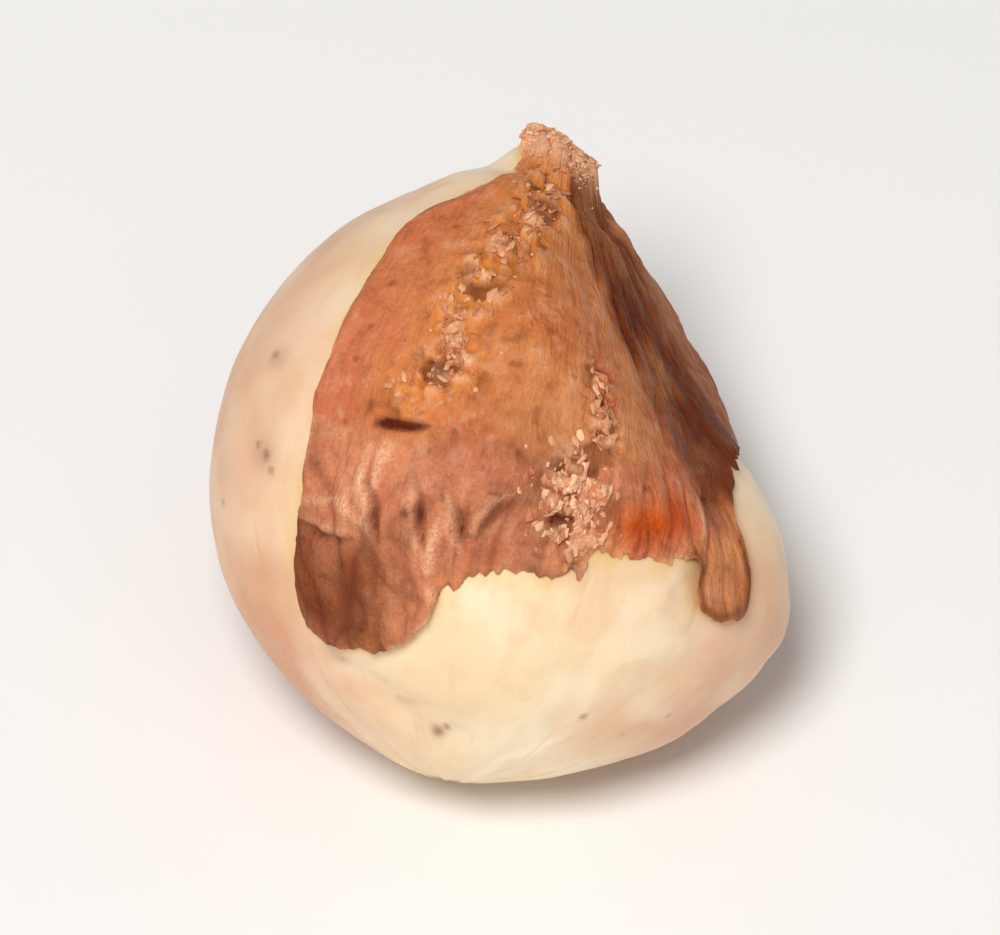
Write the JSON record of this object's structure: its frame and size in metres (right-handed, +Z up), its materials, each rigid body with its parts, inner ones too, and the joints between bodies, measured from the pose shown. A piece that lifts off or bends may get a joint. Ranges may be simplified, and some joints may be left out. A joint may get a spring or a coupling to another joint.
{
  "type": "hazelnut kernel",
  "caption": "Shelled hazelnut kernel with a pointed tip, half covered in brown papery skin and half peeled to cream flesh, lying on a small flat spot.",
  "frame": {"origin": "on the small flat spot that the kernel rests on, straight below the middle of its round body", "axes": "+Z up, away from the surface that the kernel rests on; the tip points up and back, towards +Y and a little towards +X; the half-peeled side faces -Y and up"},
  "size_m": [0.0138, 0.0139, 0.0134],
  "materials": {
    "skin": "papery satin brown skin, finely wrinkled",
    "flesh": "smooth cream flesh with a faint oily gloss"
  },
  "bodies": {
    "root": {"kernel": "skin"}
  },
  "joints": []
}
